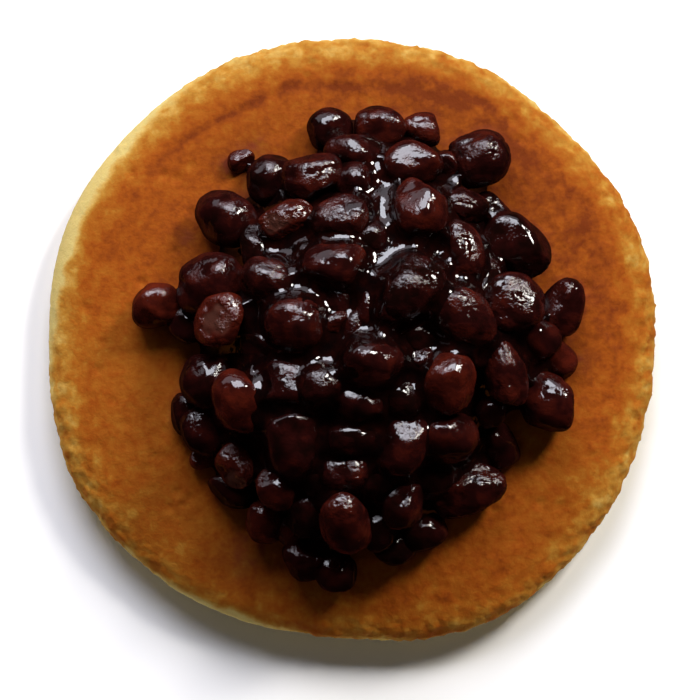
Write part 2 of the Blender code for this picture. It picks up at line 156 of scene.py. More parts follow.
# The beans that show, row by row from the far edge of the mound to the near edge.
BEANS = (
    # far edge
    Bean(-3.4, 31.0, 6.9, 6.3, 0, 0.0, "plump", 0.25),
    Bean(4.3, 31.5, 7.7, 6.8, 20, 0.0, "barrel", 0.4),
    Bean(10.3, 31.0, 5.9, 5.3, 0, 0.0, "wrinkled", 0.6),
    Bean(0.1, 27.6, 8.4, 5.8, -5, 0.4, "barrel", 0.3),
    Bean(-16.1, 26.9, 4.4, 3.6, 50, -0.8, "scrap", 0.6),
    Bean(14.2, 26.0, 5.4, 4.8, 80, -0.3, "scrap", 0.3),
    Bean(18.4, 26.8, 10.0, 8.4, 20, 0.4, "wrinkled", 0.3),
    # far slope
    Bean(-12.0, 23.8, 7.6, 6.6, 70, -0.3, "plump", 0.2),
    Bean(-5.9, 24.2, 8.8, 8.0, -20, 0.4, "wrinkled", 0.4),
    Bean(0.5, 23.4, 6.6, 5.8, -30, -0.6, "plump", 0.25),
    Bean(8.9, 26.1, 9.0, 6.9, 5, 0.3, "plump", 0.4),
    Bean(10.1, 19.5, 9.0, 7.6, 92, 0.8, "barrel", 0.5),
    Bean(4.2, 21.0, 5.2, 4.2, 80, -1.6, "scrap", 0.2),
    Bean(16.8, 19.8, 6.9, 5.4, -10, -0.4, "wrinkled", 0.25),
    Bean(-18.2, 17.9, 10.6, 8.1, -30, 0.7, "plump", 0.3),
    Bean(-9.3, 17.6, 8.5, 6.8, 5, -0.1, "split", 0.6),
    Bean(-1.5, 17.8, 8.5, 7.0, 15, 0.2, "wrinkled", 0.3),
    Bean(16.1, 13.4, 9.2, 6.2, -75, 0.2, "wrinkled", 0.35),
    Bean(24.3, 14.0, 10.8, 8.0, -35, 0.1, "barrel", 0.2),
    # left slope
    Bean(-28.6, 5.2, 7.1, 6.9, 0, 0.2, "plump", 0.7),
    Bean(-20.8, 8.5, 11.6, 8.5, 5, 0.4, "barrel", 0.35),
    Bean(-23.6, 2.4, 6.6, 5.6, -30, -0.6, "plump", 0.25),
    Bean(-18.7, 3.1, 9.2, 7.6, 62, 0.8, "split", 0.7),
    Bean(-21.2, -5.6, 8.6, 7.9, 30, -0.2, "plump", 0.25),
    Bean(-24.0, -10.6, 6.6, 5.4, 80, -0.2, "plump", 0.2),
    Bean(-21.6, -13.2, 7.8, 6.8, 100, 0.1, "plump", 0.25),
    Bean(-16.2, -8.6, 9.6, 8.4, 105, 1.2, "plump", 0.6),
    Bean(-21.7, -17.0, 4.2, 3.8, 20, -0.3, "scrap", 0.8),
    Bean(-16.7, -17.8, 7.0, 5.9, -60, 0.0, "split", 0.6),
    Bean(-17.4, -21.6, 7.6, 5.4, -15, -0.6, "barrel", 0.15),
    # crown
    Bean(-12.2, 8.4, 8.5, 7.2, -20, 0.4, "wrinkled", 0.3),
    Bean(-2.2, 10.6, 9.1, 7.6, 0, 0.1, "barrel", 0.4),
    Bean(-8.3, 2.8, 9.0, 7.7, -5, 0.6, "barrel", 0.4),
    Bean(-2.2, 2.6, 4.6, 3.8, 20, 1.0, "scrap", 0.3),
    Bean(1.9, 4.6, 5.8, 3.8, 85, 0.8, "scrap", 0.3),
    Bean(7.9, 7.5, 12.0, 8.8, 42, 1.0, "wrinkled", 0.15),
    Bean(16.4, 3.6, 10.8, 8.0, -52, 0.9, "wrinkled", 0.35),
    Bean(3.2, -3.1, 8.8, 7.5, -8, 1.9, "plump", 0.35),
    Bean(-9.2, -6.2, 7.8, 7.0, 0, 0.3, "barrel", 0.2),
    Bean(-4.5, -6.8, 7.6, 6.8, 60, 0.5, "wrinkled", 0.2),
    Bean(-10.9, -9.8, 4.8, 4.0, 0, 0.6, "scrap", 0.3),
    Bean(1.0, -8.9, 7.6, 6.2, -20, 0.2, "plump", 0.2),
    Bean(7.4, -8.6, 7.0, 6.4, -40, -0.7, "plump", 0.1),
    Bean(9.6, -2.4, 5.6, 4.2, 10, 0.4, "scrap", 0.3),
    Bean(14.2, -6.0, 9.0, 7.8, 88, 1.4, "barrel", 0.6),
    # right slope
    Bean(24.0, 5.7, 9.8, 9.0, -10, 0.7, "wrinkled", 0.3),
    Bean(31.0, 5.2, 8.8, 6.2, 75, 0.1, "wrinkled", 0.35),
    Bean(27.6, 0.4, 6.8, 5.8, -30, -0.7, "plump", 0.35),
    Bean(30.2, -2.4, 6.2, 5.0, -40, -0.9, "barrel", 0.6),
    Bean(22.4, -4.6, 10.4, 6.2, -80, 0.6, "wrinkled", 0.4),
    Bean(28.9, -8.7, 9.2, 8.2, -20, 0.6, "barrel", 0.4),
    Bean(20.1, -10.4, 5.2, 4.9, 90, 0.3, "scrap", 0.2),
    Bean(21.6, -15.4, 8.0, 5.6, -65, -0.6, "barrel", 0.25),
    # near slope
    Bean(7.7, -14.9, 9.4, 6.8, 72, 0.5, "barrel", 0.3),
    Bean(14.0, -14.0, 8.6, 8.0, 0, 0.8, "barrel", 0.35),
    Bean(17.1, -21.6, 11.8, 7.5, 20, 0.4, "wrinkled", 0.3),
    Bean(-8.5, -14.6, 9.4, 7.6, 88, 0.5, "barrel", 0.2),
    Bean(0.0, -14.0, 7.4, 6.0, 10, -0.6, "plump", 0.1),
    Bean(-1.0, -18.6, 7.0, 6.0, 0, -0.3, "wrinkled", 0.25),
    Bean(-5.2, -19.4, 6.4, 4.8, 90, -0.3, "plump", 0.1),
    Bean(-11.0, -21.4, 6.6, 5.8, -25, 0.3, "barrel", 0.4),
    Bean(7.5, -23.8, 7.4, 6.4, 88, 0.3, "barrel", 0.25),
    # near edge
    Bean(-1.0, -26.2, 10.8, 7.4, -75, 1.1, "wrinkled", 0.45),
    Bean(-6.6, -25.0, 7.4, 5.8, 80, -0.3, "plump", 0.1),
    Bean(4.0, -27.4, 7.0, 5.4, 80, -0.8, "plump", 0.1),
    Bean(10.6, -28.0, 7.0, 5.6, 20, -0.1, "plump", 0.15),
    Bean(6.4, -30.2, 6.6, 5.4, -10, -0.2, "plump", 0.1),
    Bean(-12.6, -26.6, 6.8, 5.4, 80, 0.1, "barrel", 0.5),
    Bean(-9.3, -28.2, 5.4, 4.2, 80, 0.2, "scrap", 0.4),
    Bean(-7.0, -31.8, 7.0, 6.6, 0, 0.1, "wrinkled", 0.25),
    Bean(-2.5, -33.6, 6.6, 6.0, -20, 0.0, "plump", 0.25),
)


class Skin(NamedTuple):
    """How finely a kind of bean is made, how blunt its ends are, how deep its skin is creased and
    its sides are dented, how near its middle its neighbours pressed it flat, how puckered the wet
    film on it is, and how much of its upper half is broken away."""

    rows: int
    around: int
    bluntness: float
    creases: float
    dents: float
    press: float
    pucker: float
    broken: float = 0.0


SKINS = {
    "plump": Skin(48, 64, 2.2, 0.15, 0.46, 0.92, 0.45),
    "barrel": Skin(48, 64, 2.8, 0.18, 0.46, 0.86, 0.5),
    "wrinkled": Skin(60, 80, 2.5, 0.34, 0.42, 0.84, 0.9),
    "split": Skin(60, 80, 2.5, 0.26, 0.4, 0.8, 1.5, broken=0.12),
    "scrap": Skin(32, 42, 2.2, 0.2, 0.6, 0.66, 0.8),
    "low": Skin(28, 36, 2.4, 0.25, 0.5, 0.78, 0.6),
}
# Each bean has this many flats from its neighbours, with edges rounded over this share of its size.
PRESSES = 5
PRESS_EDGE = 0.08
# Random numbers for a bean's own shape. Each flat takes four more, its way and its depth.
BEAN_DRAWS = 5
# How far those numbers change its bluntness, its girth towards one end, its bend and its flats.
BLUNTER, TAPER, BEND, NEARER = 0.3, 0.09, 0.1, 0.1
# Layers of noise in millimetres on a bean, on its broken face, and on the crushed beans.
DENTS = ((3.4, 0.7, 21), (1.8, 0.3, 22))
MEALY = ((0.9, 0.14, 26), (2.2, 0.25, 27))
CORE_LUMPS = ((2.6, 0.5, 31), (1.2, 0.2, 32))


class Pane(NamedTuple):
    """A light's width and height as shares of its distance, its colour and its direction."""

    width: float
    height: float
    colour: str
    azimuth: float
    elevation: float


# A tall window on the far side, the brightest part of its sky, and the pale wall under it.
PANES = {
    "sky_pane": Pane(0.66, 0.5, "#eceefa", 98, 38),
    "sun_pane": Pane(0.22, 0.3, "#fefaf3", 50, 36),
    "wall_below": Pane(1.4, 0.45, "#ece6f2", 108, 15),
}
# Metres from the food to each pane.
LIGHT_DISTANCE = 1.7
# The camera looks straight down on this place, with its view's width measured at the rim's height.
VIEW_CENTRE = (-0.2 * MM, -1.2 * MM)
RIM_HEIGHT = 5 * MM
# The floor lies a hair under the crust, so that the two don't flicker where they touch.
FLOOR_REACH = 3.0
FLOOR_HEIGHT = -0.02 * MM


class Sizes(NamedTuple):
    """The driving sizes, in metres."""

    radius: float
    thickness: float
    belly: float
    foot: float
    rise: float


# Colours and materials


def linear(code):
    """An sRGB hex colour such as "#a75f20" as linear red, green, blue and alpha."""
    shares = (int(code[start : start + 2], 16) / 255 for start in (1, 3, 5))
    return (*(c / 12.92 if c <= 0.04045 else ((c + 0.055) / 1.055) ** 2.4 for c in shares), 1.0)


def add_node(tree, kind, settings=(), inputs=(), stops=()):
    """Adds a shader node: settings are its properties, inputs are values or what feeds them (a
    socket, or a node by its first output), and stops are a colour ramp's places and colours."""
    made = tree.nodes.new("ShaderNode" + kind)
    for name, value in dict(settings).items():
        setattr(made, name, value)
    for name, value in dict(inputs).items():
        if isinstance(value, bpy.types.Node):
            value = value.outputs[0]
        if isinstance(value, bpy.types.NodeSocket):
            tree.links.new(value, made.inputs[name])
        else:
            made.inputs[name].default_value = value
    if stops:
        ramp = made.color_ramp.elements
        while len(ramp) < len(stops):
            ramp.new(1.0)
        for element, (place, colour) in zip(ramp, stops):
            element.position, element.color = place, linear(colour)
    return made


def new_material(name, *attributes):
    """An empty node material: the material, its tree, its surface input, and the sockets that give
    Object coordinates and each of the mesh's attributes."""
    material = bpy.data.materials.new(name)
    material.use_nodes = True
    tree = material.node_tree
    tree.nodes.clear()
    surface = tree.nodes.new("ShaderNodeOutputMaterial").inputs["Surface"]
    sockets = [add_node(tree, "TexCoord").outputs["Object"]] if attributes else []
    for attribute in attributes:
        sockets.append(add_node(tree, "Attribute", {"attribute_name": attribute}).outputs["Fac"])
    return material, tree, surface, *sockets


def castella_crust(look):
    """Griddled castella batter: a matte, finely open-pored skin, orange brown where it lay on the hot
    plate, golden towards the rim, most on the side facing the lights as painted light, pale cream sponge
    where the side rose clear of the plate, and darker and redder where syrup has soaked in, which round
    the mound's foot is partly painted shade. Its shade attribute darkens or lightens it: painted shade on
    the side facing the lights, painted light at the rim across from it, and darker in the smears and a
    painted shadow of the mound."""
    material, tree, surface, place, bake, shade, soak = new_material(
        "castella_crust", "browning", "shade", "soak"
    )
    # Batter browns in blotches of about 5 mm, round bubbles of about 2 mm, and in grains of 0.7 mm,
    # which also carry the skin's relief.
    for size, share in ((5.0, 0.22), (1.9, 0.34), (0.7, 0.28)):
        grain = add_node(tree, "TexNoise", (), {"Vector": place, "Scale": 1 / (size * MM), "Detail": 1.5})
        centred = add_node(tree, "Math", {"operation": "SUBTRACT"}, {0: grain, 1: 0.5})
        bake = add_node(tree, "Math", {"operation": "MULTIPLY_ADD"}, {0: centred, 1: share, 2: bake})
    stops = ((0.0, "#c2ab68"), (0.22, "#ba9349"), (0.42, "#a77328"))
    stops += ((0.6, "#9a5816"), (0.78, "#90460e"), (1.0, "#6e2e0b"))
    baked = add_node(tree, "ValToRGB", (), {"Fac": bake}, stops)
    # The shade attribute scales the colour's value: painted shade and light, and the smears' darkening.
    shaded = add_node(tree, "HueSaturation", (), {"Color": baked, "Value": shade})
    # Syrup soaks in unevenly, along the grain, and leaves the skin less dull.
    wet = add_node(tree, "Math", {"operation": "MULTIPLY_ADD"}, {0: grain, 1: 0.5, 2: -0.25})
    wet_edge = add_node(tree, "Math", {"operation": "ADD", "use_clamp": True}, {0: wet, 1: soak})
    wet_share = add_node(tree, "Math", {"operation": "MULTIPLY"}, {0: wet_edge, 1: soak})
    mixed = {"Factor": wet_share, "A": shaded, "B": tuple(look.soaked)}
    colour = add_node(tree, "Mix", {"data_type": "RGBA"}, mixed)
    rough = add_node(tree, "Math", {"operation": "MULTIPLY_ADD"}, {0: wet_share, 1: -0.3, 2: 0.8})
    # The pores are about 0.3 mm across.
    pore = add_node(tree, "TexNoise", (), {"Vector": place, "Scale": 1 / (0.3 * MM), "Detail": 2.0})
    relief = add_node(tree, "Math", {"operation": "MULTIPLY_ADD"}, {0: pore, 1: 0.5, 2: grain})
    bump = add_node(tree, "Bump", (), {"Strength": 0.6, "Distance": 0.12 * MM, "Height": relief})
    finish = {
        "Base Color": colour.outputs["Result"],
        "Roughness": rough,
        "Specular IOR Level": 0.06,
        "Normal": bump,
        "Subsurface Weight": 0.12,
        "Subsurface Radius": (1.0, 0.5, 0.2),
        "Subsurface Scale": 0.8 * MM,
    }
    shader = add_node(tree, "BsdfPrincipled", (), finish)
    tree.links.new(shader.outputs["BSDF"], surface)
    return material


def under_film(tree, surface, colour, film, bump, roughness, ior):
    """A dull body under a clear coat of syrup, which alone gives the sharp highlights."""
    finish = {
        "Base Color": colour,
        "Roughness": 0.5,
        "Specular IOR Level": 0.0,
        "Normal": bump,
        "Coat Weight": film,
        "Coat Roughness": roughness,
        "Coat IOR": ior,
        "Coat Normal": bump,
    }
    shader = add_node(tree, "BsdfPrincipled", (), finish)
    tree.links.new(shader.outputs["BSDF"], surface)


def azuki_skin(look):
    """Boiled azuki in syrup: a nearly black, red-brown skin under a clear wet film, with mealy
    paler flesh where a bean has split. The puckered skin breaks the film's highlights into
    sparks."""
    material, tree, surface, place, tone, flesh, pucker, film = new_material(
        "syrupy_azuki_skin", "tone", "flesh", "pucker", "film"
    )
    # The skin's colour clouds over some 2.4 mm.
    cloud = add_node(tree, "TexNoise", (), {"Vector": place, "Scale": 1 / (2.4 * MM), "Detail": 3.0})
    cloudy = add_node(tree, "Math", {"operation": "MULTIPLY_ADD"}, {0: cloud, 1: 1.3, 2: tone})
    depth = add_node(tree, "Math", {"operation": "SUBTRACT"}, {0: cloudy, 1: 0.65})
    stops = ((0.0, "#0e0403"), (0.3, "#1f0706"), (0.6, "#340e08"), (1.0, "#4a160b"))
    skin = add_node(tree, "ValToRGB", (), {"Fac": depth}, stops)
    mixed = {"Factor": flesh, "A": skin, "B": tuple(look.flesh)}
    colour = add_node(tree, "Mix", {"data_type": "RGBA"}, mixed)
    # It puckers in folds of about 0.5 mm, but only in patches some 3 mm across.
    fold = add_node(tree, "TexNoise", (), {"Vector": place, "Scale": 1 / (0.45 * MM), "Detail": 4.0})
    limits = {"Value": cloud, "From Min": 0.42, "From Max": 0.58, "To Min": 0.15, "To Max": 1.0}
    patch = add_node(tree, "MapRange", {"interpolation_type": "SMOOTHSTEP"}, limits)
    depth_here = add_node(tree, "Math", {"operation": "MULTIPLY"}, {0: patch, 1: pucker})
    folds = add_node(tree, "Math", {"operation": "MULTIPLY"}, {0: fold, 1: depth_here})
    bump = add_node(tree, "Bump", (), {"Strength": 1.0, "Distance": 0.2 * MM, "Height": folds})
    under_film(tree, surface, colour.outputs["Result"], film, bump, roughness=0.07, ior=1.49)
    return material


def bean_syrup(look):
    """Sugar syrup thick with crushed azuki: almost black where it is deep, with a smooth wet
    surface, which the pulp of 1.6 mm under it barely lifts."""
    material, tree, surface, place, film = new_material("azuki_syrup", "film")
    pulp = add_node(tree, "TexNoise", (), {"Vector": place, "Scale": 1 / (1.6 * MM), "Detail": 3.0})
    stops = ((0.35, "#090303"), (0.6, "#140403"), (0.8, "#230906"))
    colour = add_node(tree, "ValToRGB", (), {"Fac": pulp}, stops)
    bump = add_node(tree, "Bump", (), {"Strength": 0.7, "Distance": 0.12 * MM, "Height": pulp})
    under_film(tree, surface, colour, film, bump, look.syrup_roughness, ior=1.55)
    return material


# Surfaces as whole arrays


def cell_number(cell, seed):
    """A repeatable number from 0 to 1 for each cell of a lattice, mixed from its three indices."""
    x, y, z = (cell[..., axis].astype(np.uint32) for axis in range(3))
    mixed = x * np.uint32(73856093) ^ y * np.uint32(19349663) ^ z * np.uint32(83492791)
    mixed ^= np.uint32(seed * 7919)
    for shift, factor in ((16, 0x85EBCA6B), (13, 0xC2B2AE35)):
        mixed = (mixed ^ (mixed >> np.uint32(shift))) * np.uint32(factor)
    return (mixed ^ (mixed >> np.uint32(16))) / 2.0**32


def noise(points, size, seed):
    """Smooth noise from -1 to 1: a random number for each corner of a lattice of that cell size in
    millimetres, blended across the cell with the ease 6t^5 - 15t^4 + 10t^3."""
    scaled = points / (size * MM)
    cell = np.floor(scaled).astype(np.int64)
    t = scaled - cell
    t = t**3 * (t * (t * 6 - 15) + 10)
    total = 0.0
    for corner in product((0, 1), repeat=3):
        weight = np.prod(np.where(corner, t, 1 - t), axis=-1)
        total = total + weight * cell_number(cell + np.array(corner), seed)
    return 2 * total - 1


def layers(points, table):
    """Layers of noise on each other, each of a size, an amount and a seed."""
    return sum(amount * noise(points, size, seed) for size, amount, seed in table)


def pits(points, size, seed):
    """Distance in cells to the nearest of one random point in each lattice cell: 0 in a pit."""
    scaled = points / (size * MM)
    cell = np.floor(scaled).astype(np.int64)
    nearest = np.full(points.shape[:-1], 9.0)
    for step in product((-1, 0, 1), repeat=3):
        near = cell + np.array(step)
        spot = np.stack([cell_number(near, seed + axis) for axis in range(3)], axis=-1)
        nearest = np.minimum(nearest, np.linalg.norm(near + spot - scaled, axis=-1))
    return nearest


def ease(low, high, value):
    """0 below low, 1 above high, and 3t^2 - 2t^3 between."""
    t = np.clip((value - low) / (high - low), 0.0, 1.0)
    return t * t * (3 - 2 * t)


def lobe(degrees, direction, spread):
    """A soft lobe round the edge: exp(-(degrees from the direction / spread)^2)."""
    return np.exp(-(((degrees - direction + 180) % 360 - 180) / spread) ** 2)


def normalized(vectors):
    """The vectors in the last axis at length 1. Those too short to have a direction stay short."""
    return vectors / np.maximum(np.linalg.norm(vectors, axis=-1, keepdims=True), 1e-12)


def film_left(normal):
    """How much of the film of syrup stays on a surface: it runs off where the surface is steep."""
    return 0.15 + 0.85 * ease(0.35, 0.75, normal[..., 2])


def draws(index, count):
    """Numbers from -1 to 1 that belong to one bean."""
    source = random.Random(SEED * 1000 + index)
    return [source.uniform(-1, 1) for _ in range(count)]


def finished(name, places, faces, material, attributes):
    """The mesh object of these places and faces, smooth, with a number for each place in each
    attribute."""
    mesh = bpy.data.meshes.new(name)
    mesh.from_pydata(places.tolist(), [], faces)
    mesh.shade_smooth()
    for label, values in attributes.items():
        layer = mesh.attributes.new(label, "FLOAT", "POINT")
        layer.data.foreach_set("value", values.astype(np.float32))
    mesh.materials.append(material)
    obj = bpy.data.objects.new(name, mesh)
    bpy.context.scene.collection.objects.link(obj)
    return obj


def closed_rings(name, points, material, attributes):
    """A mesh of closed bodies from an array of (body, row, place round the row, xyz).

    Each row is a ring and joins the next by quads. The first and last rows are poles, all at one
    place, which close the body with a fan. Attributes are arrays of (body, row, place)."""

    def per_vertex(values):
        rings = values[:, 1:-1].reshape(len(values), -1, *values.shape[3:])
        return np.concatenate((rings, values[:, (0, -1), 0]), axis=1).reshape(-1, *values.shape[3:])

    bodies, rows, around = points.shape[:3]
    rings = rows - 2
    row, place = np.mgrid[0 : rings - 1, 0:around]
    after = (place + 1) % around
    corners = (row * around + place, (row + 1) * around + place)
    corners += ((row + 1) * around + after, row * around + after)
    quads = np.stack(corners, axis=-1).reshape(-1, 4)
    place, after = np.arange(around), (np.arange(around) + 1) % around
    last_ring = (rings - 1) * around
    pole = np.full(around, rings * around)
    start_fan = np.stack((pole, place, after), axis=-1)
    end_fan = np.stack((last_ring + place, pole + 1, last_ring + after), axis=-1)
    offset = (np.arange(bodies) * (rings * around + 2))[:, None, None]
    faces = [(part + offset).reshape(-1, part.shape[-1]).tolist() for part in (quads, start_fan, end_fan)]
    by_place = {label: per_vertex(values) for label, values in attributes.items()}
    return finished(name, per_vertex(points), sum(faces, []), material, by_place)


def dress(piece, node):
    """The piece stands for a node of the frame and rides on the root; the node itself is hidden."""
    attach(piece, "root")
    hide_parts(node)


# The pancake


def wavy(lobes, angle):
    """The slow waves' height at an angle: the sum of height * cos(count * (angle - turn))."""
    count, height, turn = np.array(lobes).T
    phase = count * (np.asarray(angle)[..., None] - np.radians(turn))
    return MM * np.sum(height * np.cos(phase), axis=-1)


def crust_height(x, y, sizes):
    """Height of the browned top: belly + (thickness - belly) * sqrt(1 - share^3.6) + rim waves."""
    angle = np.arctan2(y, x)
    share = np.minimum(np.hypot(x, y) / (sizes.radius + wavy(EDGE_LOBES, angle)), 1.0)
    dome = np.sqrt(1.0 - share**DOME_POWER)
    return sizes.belly + (sizes.thickness - sizes.belly) * dome + wavy(RIM_WAVES, angle) * share**4


def crust_profile(sizes, rows):
    """Radius and height from the top's centre over the rim to the underside's centre, and the
    outward normal. The rows are closest together where the crust shows.

    Top: share = sin(t)^(2/3.6), height = belly + (thickness - belly) * cos(t). Below the belly: a
    quarter ellipse in to the foot, then the flat it stands on."""
    t = np.linspace(0.0, np.pi / 2, 500)
    top_radius = sizes.radius * np.sin(t) ** (2 / DOME_POWER)
    top_height = sizes.belly + (sizes.thickness - sizes.belly) * np.cos(t)
    side_radius = sizes.foot + (sizes.radius - sizes.foot) * np.cos(t)
    side_height = sizes.belly * (1 - np.sin(t))
    flat_radius = np.linspace(sizes.foot, 0.0, 200)
    radius = np.concatenate((top_radius, side_radius[1:], flat_radius[1:]))
    height = np.concatenate((top_height, side_height[1:], 0 * flat_radius[1:]))
    step = np.hypot(np.diff(radius), np.diff(height))
    run = np.concatenate(((0.0,), np.cumsum(step)))
    under = np.arange(len(radius)) > len(top_radius) + len(side_radius)
    hidden = under | (radius < COVERED_RADIUS)
    effort = np.concatenate(((0.0,), np.cumsum(step * np.where(hidden, COVERED_RINGS, 1.0)[1:])))
    spots = np.interp(np.linspace(0.0, effort[-1], rows), effort, run)
    radius, height = np.interp(spots, run, radius), np.interp(spots, run, height)
    slope = np.stack((np.gradient(height, spots), -np.gradient(radius, spots)))
    normal_out, normal_up = -slope / np.linalg.norm(slope, axis=0)
    return radius, height, normal_out, normal_up


def crust_relief(spot, share, degrees, above, off_table, pale):
    """How far the crust stands out along its normal, in millimetres: slow swells, fine grain, a
    ruffled rim, hollows left by bubbles, and the creases' dips. Also the creases' own share."""
    rim = ease(0.9, 1.0, share) * off_table / (1 + pale**2)
    swell = layers(spot, SWELL) * ease(0.2, 0.6, share)
    hollow = ease(0.32, 0.12, pits(spot, 3.4, 7)) * ease(0.1, 0.6, noise(spot, 5, 8)) * 0.22
    wander = layers(spot, CREASE_WANDER)
    crease = above * sum(
        strength
        * np.exp(-(((share - crease_at - wander) / CREASE_WIDTH) ** 2))
        * lobe(degrees, direction, spread)
        for crease_at, direction, spread, strength in CREASES
    )
    relief = swell + layers(spot, GRAIN) / (1 + 2 * pale) + layers(spot, RUFFLE) * rim
    relief = relief - hollow * above - 0.12 * crease
    return np.where(off_table > 0, relief, np.minimum(relief, 0.0)), crease


def crust_looks(spot, share, degrees, above, past_belly, pale, crease, sizes):
    """The crust's attributes, each an array of its places.

    Browning is 0 on bare sponge and about 0.8 on the skin. It is more in the creases and where the plate
    was hot, and less at the rim and in its golden flecks. Its sides carry painted shade on the side
    facing the lights and painted light on the shaded sides, and the rim's golden paling, most towards the
    lights, is partly painted light. Soak is 1 where syrup has soaked in, by the mound, where it is partly
    painted shade at the mound's foot, and in the smears and a painted shadow of the mound. Shade is 1,
    less on the side facing the lights from half way out, which is painted shade, and more at the rim
    across from it, which is painted light, and darkened by the smears and the painted shadow."""
    bare = past_belly + (SKIN_MARGIN + pale - 0.4 * noise(spot, 2.2, 10)) * MM
    skin = ease(0.9 * MM, -0.9 * MM, bare)
    # The sides' browning holds painted shade on the side facing the lights and painted light on the
    # shaded sides.
    uneven = sum(amount * lobe(degrees, direction, spread) for direction, spread, amount in BROWNING_AND_PAINTED_LIGHT_SIDES)
    # The rim pales to gold most on the side facing the lights: partly painted light.
    golden = RIM_PALER + GOLDEN_PALER * (0.5 + 0.5 * np.cos(np.radians(degrees - GOLDEN_LIT_SIDE)))
    browning = SKIN_BROWNING + uneven * ease(0.5, 0.8, share) - golden * ease(0.87, 0.97, share)
    flecks = ease(0.05, 0.6, noise(spot, 1.7, 17)) * ease(0.68, 0.92, share)
    browning = browning + CREASE_BROWNER * crease - FLECK_PALER * flecks
    browning = skin * (browning + layers(spot, BROWNING_DRIFT))
    blotches = layers(spot, RIM_BLOTCHES) * ease(0.75, 0.95, share)
    browning = browning + skin * blotches / (1 + pale**2)
    browning = browning + SPONGE_BROWNING * (1 - skin)
    underside = ease(1.3 * MM, 0.1 * MM, spot[..., 2]) * ~above
    browning = browning + underside * (UNDERSIDE_BROWNING + layers(spot, UNDERSIDE_BLOTCHES))

    near_heap = sample(heap_maps(sizes)[2], spot[..., 0], spot[..., 1])
    # Soft round patches for the smears and for the mound's painted shadow.
    smear_and_shadow = sum(
        np.exp(-((spot[..., 0] - x * MM) ** 2 + (spot[..., 1] - y * MM) ** 2) / (size * MM) ** 2)
        for x, y, size in STAINS_AND_PAINTED_SHADOW
    )
    # Syrup soaks the crust round the mound's foot; this darkening also stands in for the mound's shade
    # there, as painted shade.
    soak = ease(0.02, 0.7, near_heap) * (0.55 + 0.45 * noise(spot, 4, 14))
    soak = np.maximum(soak, smear_and_shadow * (0.7 + 0.5 * noise(spot, 1.2, 18))) * above

    # Painted shade on the side facing the lights from half way out, and painted light at the rim across
    # from it, times the smears' darkening and the mound's painted shadow.
    toward_lights = np.cos(np.radians(degrees - PAINTED_SHADE_SIDE))
    lit = np.where(toward_lights > 0, ease(0.5, 0.8, share), ease(0.86, 0.96, share))
    stain_and_shadow = 1 - STAIN_AND_SHADOW_DARKENING * np.minimum(smear_and_shadow, 1.0)
    shade = (1 - PAINTED_SHADE_DEPTH * toward_lights * lit) * stain_and_shadow
    return {"browning": browning, "soak": soak, "shade": shade}


def pancake_piece(sizes, look):
    """The whole pancake: the profile turned round Z and stretched to the uneven outline, with its
    rim waving up and down, and then moved along its normal by the crust's relief."""
    radius, height, normal_out, normal_up = (a[:, None] for a in crust_profile(sizes, CRUST_ROWS))
    angle = np.linspace(0.0, 2 * np.pi, CRUST_AROUND, endpoint=False)[None, :]
    edge = sizes.radius + wavy(EDGE_LOBES, angle)
    share = radius / sizes.radius
    off_table = np.clip(height / sizes.belly, 0.0, 1.0)
    reach = share * edge
    rise = height + wavy(RIM_WAVES, angle) * np.minimum(share, 1.0) ** 4 * off_table
    spot = np.stack((reach * np.cos(angle), reach * np.sin(angle), rise + 0 * angle), axis=-1)
    above = np.arange(CRUST_ROWS)[:, None] < np.argmax(radius)
    degrees = np.degrees(angle)
    pale = sum(width * lobe(degrees, direction, spread) for direction, spread, width in PALE_ARCS)

    relief, crease = crust_relief(spot, share, degrees, above, off_table, pale)
    relief = relief * MM
    spot[..., 0] += relief * normal_out * np.cos(angle)
    spot[..., 1] += relief * normal_out * np.sin(angle)
    spot[..., 2] = np.maximum(spot[..., 2] + relief * normal_up, 0.0)
    spot[0], spot[-1] = spot[0, 0], spot[-1, 0]

    past_belly = np.where(above, reach - edge, sizes.belly - height)
    looks = crust_looks(spot, share, degrees, above, past_belly, pale, crease, sizes)
    looks = {label: values[None] for label, values in looks.items()}
    piece = closed_rings("pancake_crust", spot[None], castella_crust(look), looks)
    dress(piece, "pancake")


# The beans


def mound_outline(angle):
    """Distance from the mound's middle to its outline: its radius plus slow waves."""
    return MOUND_RADIUS * MM + wavy(MOUND_LOBES, angle)


def from_middle(x, y):
    """The place measured from the mound's middle."""
    return x - MOUND_CENTRE[0] * MM, y - MOUND_CENTRE[1] * MM


def mound_share(x, y):
    """How far a place is from the mound's middle, as a share of the way to its outline."""
    across, along = from_middle(x, y)
    return np.hypot(across, along) / mound_outline(np.arctan2(along, across))


def mound_rise(x, y, sizes):
    """How far the mound lifts a bean: rise * (1 - share^2)^0.85."""
    return sizes.rise * np.maximum(1.0 - mound_share(x, y) ** 2, 0.0) ** MOUND_ROUNDNESS


@lru_cache
def low_beans():
    """The beans that fill the hollows of the mound, on a sunflower spiral from the middle out,
    wherever no bean above them is near."""
    found = []
    for step in range(LOW_BEAN_STEPS):
        angle = step * GOLDEN_ANGLE
        reach = math.sqrt((step + 0.5) / LOW_BEAN_STEPS) * float(mound_outline(angle)) / MM
        across = MOUND_CENTRE[0] + reach * math.cos(angle)
        along = MOUND_CENTRE[1] + reach * math.sin(angle)
        clear = all(
            math.hypot(across - bean.across, along - bean.along)
            > (bean.length + bean.width) / 4 + LOW_BEAN_CLEARANCE
            for bean in (*BEANS, *found)
        )
        if clear:
            turn = math.degrees(angle) * 2 % 180
            size = (LOW_BEAN_LENGTH, LOW_BEAN_WIDTH)
            found.append(Bean(across, along, *size, turn, LOW_BEAN_LIFT, "low", 0.12))
    return found


